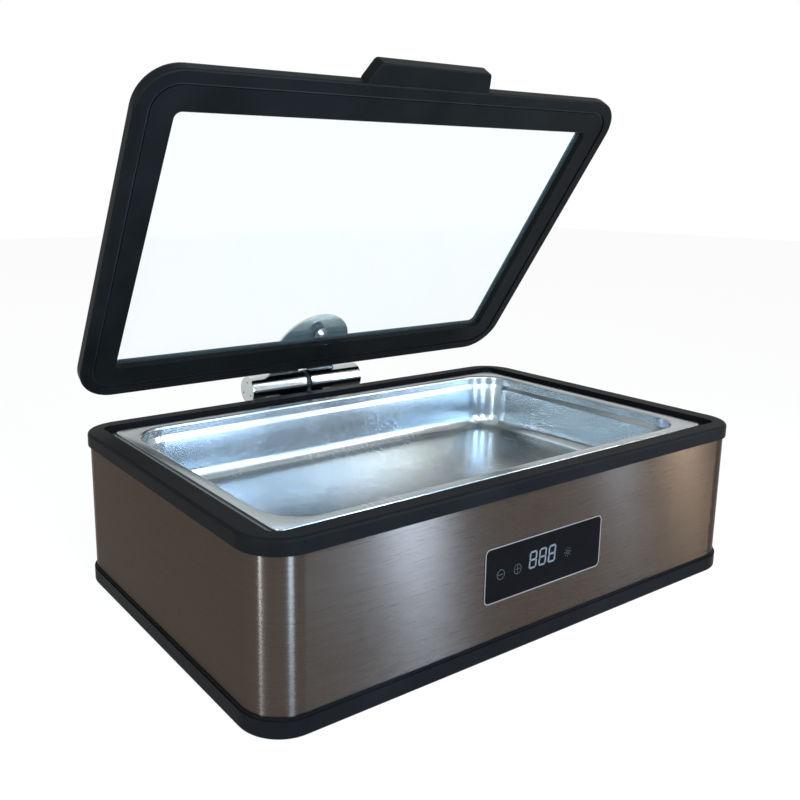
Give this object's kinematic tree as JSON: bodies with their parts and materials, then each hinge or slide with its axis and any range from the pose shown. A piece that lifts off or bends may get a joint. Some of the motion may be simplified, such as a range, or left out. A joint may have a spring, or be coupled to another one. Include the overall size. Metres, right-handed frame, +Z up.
{
  "type": "chafing dish",
  "caption": "Rectangular electric chafing dish: brushed steel water-bath base with black trims, full-size food pan and a framed glass lid on a damped rear barrel hinge.",
  "frame": {"origin": "on the surface that the feet stand on, under the middle of the base's outline", "axes": "+X right along the long side, +Y from the control panel to the hinge side, +Z up"},
  "size_m": [0.588, 0.4215, 0.522],
  "materials": {
    "casing_steel": "horizontally brushed stainless, fairly glossy",
    "pan_steel": "bright drawn stainless",
    "plate_steel": "plain mill sheet",
    "screw_steel": "plated",
    "bezel_steel": "bright edge",
    "hinge_chrome": "mirror plated",
    "black_trim": "black, finely satin",
    "black_frame": "black, satin",
    "bracket_black": "black, semi-gloss",
    "panel_black": "black, high gloss",
    "display_block": "dark grey",
    "board_green": "circuit board",
    "white_nylon": "natural nylon",
    "white_ceramic": "unglazed",
    "fibre_pad": "glass fibre felt",
    "spreader_aluminium": "rolled",
    "pin_brass": "plated contact",
    "foot_rubber": "matte",
    "seal_rubber": "matte",
    "lid_glass": "clear tempered, faint green edge"
  },
  "bodies": {
    "base": {"casing_wrap": "casing_steel", "top_trim": "black_trim", "bottom_trim": "black_trim", "bottom_plate": "plate_steel", "water_pan": "pan_steel", "heat_spreader": "spreader_aluminium", "heating_element": "plate_steel", "heat_shield": "plate_steel", "insulation": "fibre_pad", "temperature_sensor": "white_ceramic", "thermal_cutout": "white_ceramic", "control_bezel": "bezel_steel", "control_window": "panel_black", "panel_holder": "black_trim", "panel_board": "board_green", "display_module": "display_block", "power_board": "board_green", "board_standoffs": "white_nylon", "power_relay": "display_block", "mains_inlet": "black_trim", "inlet_pins": "pin_brass", "rubber_feet": "foot_rubber", "foot_screws": "screw_steel", "tie_posts": "screw_steel", "hinge_bracket": "bracket_black", "hinge_backing_plate": "plate_steel", "bracket_screws": "screw_steel", "hinge_pin": "screw_steel", "hinge_washers": "black_trim"},
    "food_pan": {"food_pan": "pan_steel"},
    "lid": {"hinge_leaf": "hinge_chrome", "hinge_dampers": "plate_steel", "hinge_end_caps": "hinge_chrome", "lid_frame": "black_frame", "lid_retainer": "black_frame", "lid_glass": "lid_glass", "lid_gasket": "seal_rubber", "lid_handle": "black_frame", "handle_screws": "screw_steel", "leaf_screws": "hinge_chrome", "glass_bolt": "hinge_chrome", "glass_spacer": "seal_rubber", "glass_washer": "hinge_chrome", "cap_nut": "hinge_chrome"}
  },
  "joints": [
    {"name": "lid_hinge", "type": "hinge", "parent": "base", "child": "lid", "pos_m": [0, 0.216, 0.1665], "axis": [-1, 0, 0], "range_deg": [-56, 34]},
    {"name": "pan_lift", "type": "slide", "parent": "base", "child": "food_pan", "axis": [0, 0, 1], "range_m": [0, 0.0043]}
  ]
}
